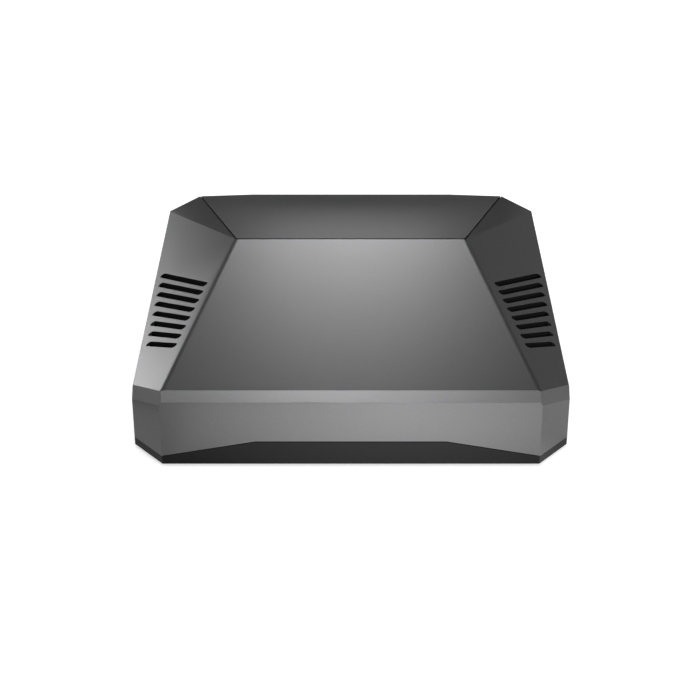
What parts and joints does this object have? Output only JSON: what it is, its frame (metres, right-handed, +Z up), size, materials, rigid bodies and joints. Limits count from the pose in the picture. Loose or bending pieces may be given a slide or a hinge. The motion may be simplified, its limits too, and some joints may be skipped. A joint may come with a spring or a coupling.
{
  "type": "single-board computer case",
  "caption": "Desktop case for a small single-board computer: faceted metal shell with slotted sides on a black tray, with a lift-off rear cover, cooling fan and rear sockets.",
  "frame": {"origin": "on the table under the middle of the case's bounding box", "axes": "+Z up; the low front faces -Y, the sockets and the cover's lip are at +Y; +X to the right when looking at the front"},
  "size_m": [0.098, 0.105, 0.031],
  "materials": {
    "grey_metal": "satin, fine grain",
    "black_plastic": "matt",
    "rubber": "matt",
    "steel": "plated",
    "pad": "matt",
    "circuit_board": "lacquered",
    "gilt_pins": "plated",
    "button_plastic": "satin",
    "white_plastic": "satin"
  },
  "bodies": {
    "case": {"top_shell": "grey_metal", "base_tray": "black_plastic", "rubber_feet": "rubber", "deck_magnets": "steel", "case_screws": "steel", "control_screws": "steel", "adapter_screws": "steel", "fan_screws": "steel", "heat_pads": "pad", "control_board": "circuit_board", "adapter_board": "circuit_board", "computer_socket": "black_plastic", "header_block": "black_plastic", "header_pins": "gilt_pins", "mode_header": "black_plastic", "mode_pins": "gilt_pins", "mode_jumper": "black_plastic", "power_inlet": "steel", "inlet_tongue": "black_plastic", "button_switch": "black_plastic", "fan_connector": "white_plastic", "controller_chip": "black_plastic", "display_socket": "steel", "display_tongue": "black_plastic", "display_plug": "steel", "audio_plug": "steel", "audio_socket": "black_plastic", "fan_frame": "black_plastic"},
    "cover": {"rear_cover": "grey_metal", "cover_magnets": "steel"},
    "button": {"power_button": "button_plastic", "switch_plunger": "black_plastic"},
    "rotor": {"fan_rotor": "black_plastic"}
  },
  "joints": [
    {"name": "cover_lift", "type": "slide", "parent": "case", "child": "cover", "axis": [0, 0, 1], "range_m": [0, 0.04]},
    {"name": "button_press", "type": "slide", "parent": "case", "child": "button", "axis": [0, -1, 0], "range_m": [0, 0.0006], "stiffness_N_per_m": 2000},
    {"name": "fan_spin", "type": "hinge", "parent": "case", "child": "rotor", "pos_m": [0.005, -0.0175, 0.0141], "axis": [0, 0, 1], "continuous": true}
  ]
}
